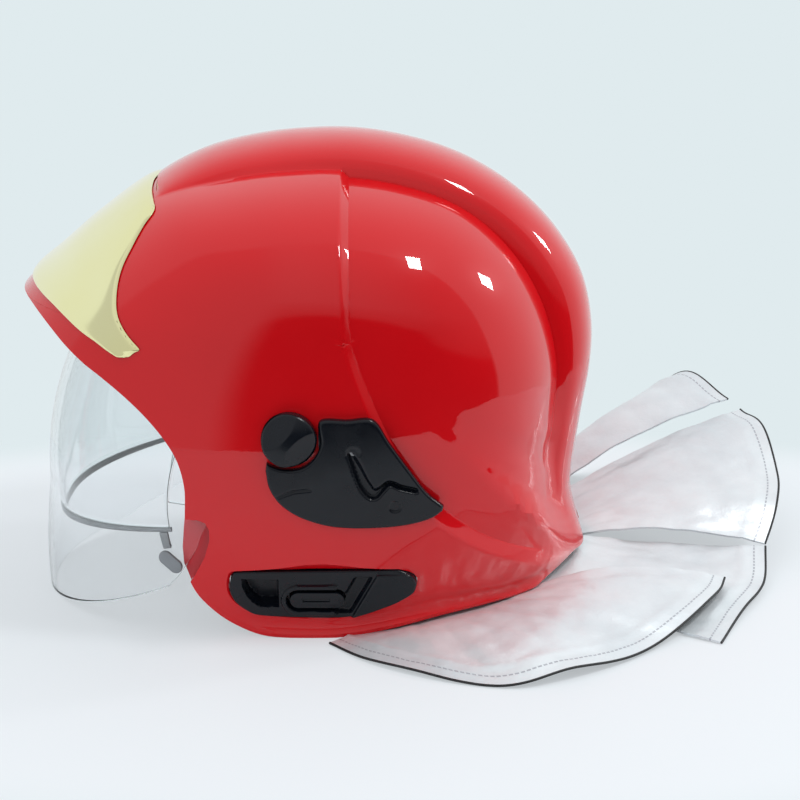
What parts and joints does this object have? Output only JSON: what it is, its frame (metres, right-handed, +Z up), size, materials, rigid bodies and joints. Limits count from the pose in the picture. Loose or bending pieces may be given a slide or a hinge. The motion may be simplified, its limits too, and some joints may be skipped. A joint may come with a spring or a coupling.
{
  "type": "fire helmet",
  "caption": "Jet-style fire helmet with raised crest, gold frontal plate, swing-down face shield and ocular visor, side brackets, head harness and silver neck curtain.",
  "frame": {"origin": "middle of the part's box at its resting plane", "axes": "+X to the rear of the helmet, +Y to the wearer's right, +Z up"},
  "size_m": [0.424, 0.3405, 0.2512],
  "materials": {
    "red_shell": "high gloss red",
    "red_panel": "satin red",
    "gold_plate": "pale gold mirror",
    "clear_shield": "clear polished",
    "clear_ocular": "clear polished",
    "black_plastic": "satin black",
    "dark_plastic": "fine grained dark grey",
    "grey_rubber": "matt grey",
    "steel": "brushed",
    "foam": "open grained foam",
    "pad_cloth": "padded knit",
    "webbing": "woven tape",
    "silver_cloth": "aluminised cloth, black lined"
  },
  "bodies": {
    "helmet": {"outer_shell": "red_shell", "frontal_plate": "gold_plate", "hinge_pin_left": "steel", "hinge_pin_right": "steel", "visor_housing": "dark_plastic", "cheek_panel_left": "red_panel", "cheek_panel_right": "red_panel", "side_plate_left": "black_plastic", "side_plate_right": "black_plastic", "plate_screws": "steel", "knob_spindle_left": "steel", "knob_spindle_right": "steel", "mask_bracket_left": "black_plastic", "mask_bracket_right": "black_plastic", "liner_front": "foam", "liner_rear": "foam", "brow_pad": "pad_cloth", "headband": "dark_plastic", "ratchet_housing": "dark_plastic", "cradle_straps": "webbing", "chin_strap": "webbing", "chin_cup": "grey_rubber", "strap_anchors": "steel", "buckle_body": "black_plastic", "curtain_band": "webbing", "curtain_side_left": "silver_cloth", "curtain_rear_left": "silver_cloth", "curtain_rear_right": "silver_cloth", "curtain_side_right": "silver_cloth"},
    "shield": {"face_shield": "clear_shield", "shield_arm_left": "black_plastic", "shield_arm_right": "black_plastic", "shield_grip_left": "black_plastic", "shield_grip_right": "black_plastic"},
    "ocular": {"ocular_visor": "clear_ocular", "ocular_trim": "grey_rubber", "ocular_tab_left": "black_plastic", "ocular_tab_right": "black_plastic"},
    "knob_left": {"side_knob_left": "black_plastic"},
    "knob_right": {"side_knob_right": "black_plastic"},
    "ratchet": {"ratchet_knob": "black_plastic"},
    "release_left": {"mask_release_left": "dark_plastic"},
    "release_right": {"mask_release_right": "dark_plastic"},
    "buckle_release": {"buckle_button": "red_panel"}
  },
  "joints": [
    {"name": "shield_swing", "type": "hinge", "parent": "helmet", "child": "shield", "pos_m": [-0.0455, 0, 0.068], "axis": [0, 1, 0], "range_deg": [0, 60]},
    {"name": "ocular_swing", "type": "hinge", "parent": "helmet", "child": "ocular", "pos_m": [-0.0455, 0, 0.068], "axis": [0, 1, 0], "range_deg": [0, 44]},
    {"name": "knob_left_turn", "type": "hinge", "parent": "helmet", "child": "knob_left", "pos_m": [-0.0645, 0, 0.115], "axis": [0, -1, 0], "range_deg": [0, 90]},
    {"name": "knob_right_turn", "type": "hinge", "parent": "helmet", "child": "knob_right", "pos_m": [-0.0645, 0, 0.115], "axis": [0, 1, 0], "range_deg": [0, 90]},
    {"name": "ratchet_turn", "type": "hinge", "parent": "helmet", "child": "ratchet", "pos_m": [0.0521, 0, 0.096], "axis": [1, 0, 0], "range_deg": [-270, 270]},
    {"name": "release_left_press", "type": "slide", "parent": "helmet", "child": "release_left", "axis": [0, 0.9816, 0.1908], "range_m": [0, 0.002], "stiffness_N_per_m": 400, "springref_m": -0.001},
    {"name": "release_right_press", "type": "slide", "parent": "helmet", "child": "release_right", "axis": [0, -0.9816, 0.1908], "range_m": [0, 0.002], "stiffness_N_per_m": 400, "springref_m": -0.001},
    {"name": "buckle_press", "type": "slide", "parent": "helmet", "child": "buckle_release", "axis": [0.2058, 0.7986, 0.5655], "range_m": [0, 0.0018], "stiffness_N_per_m": 400, "springref_m": -0.001}
  ]
}
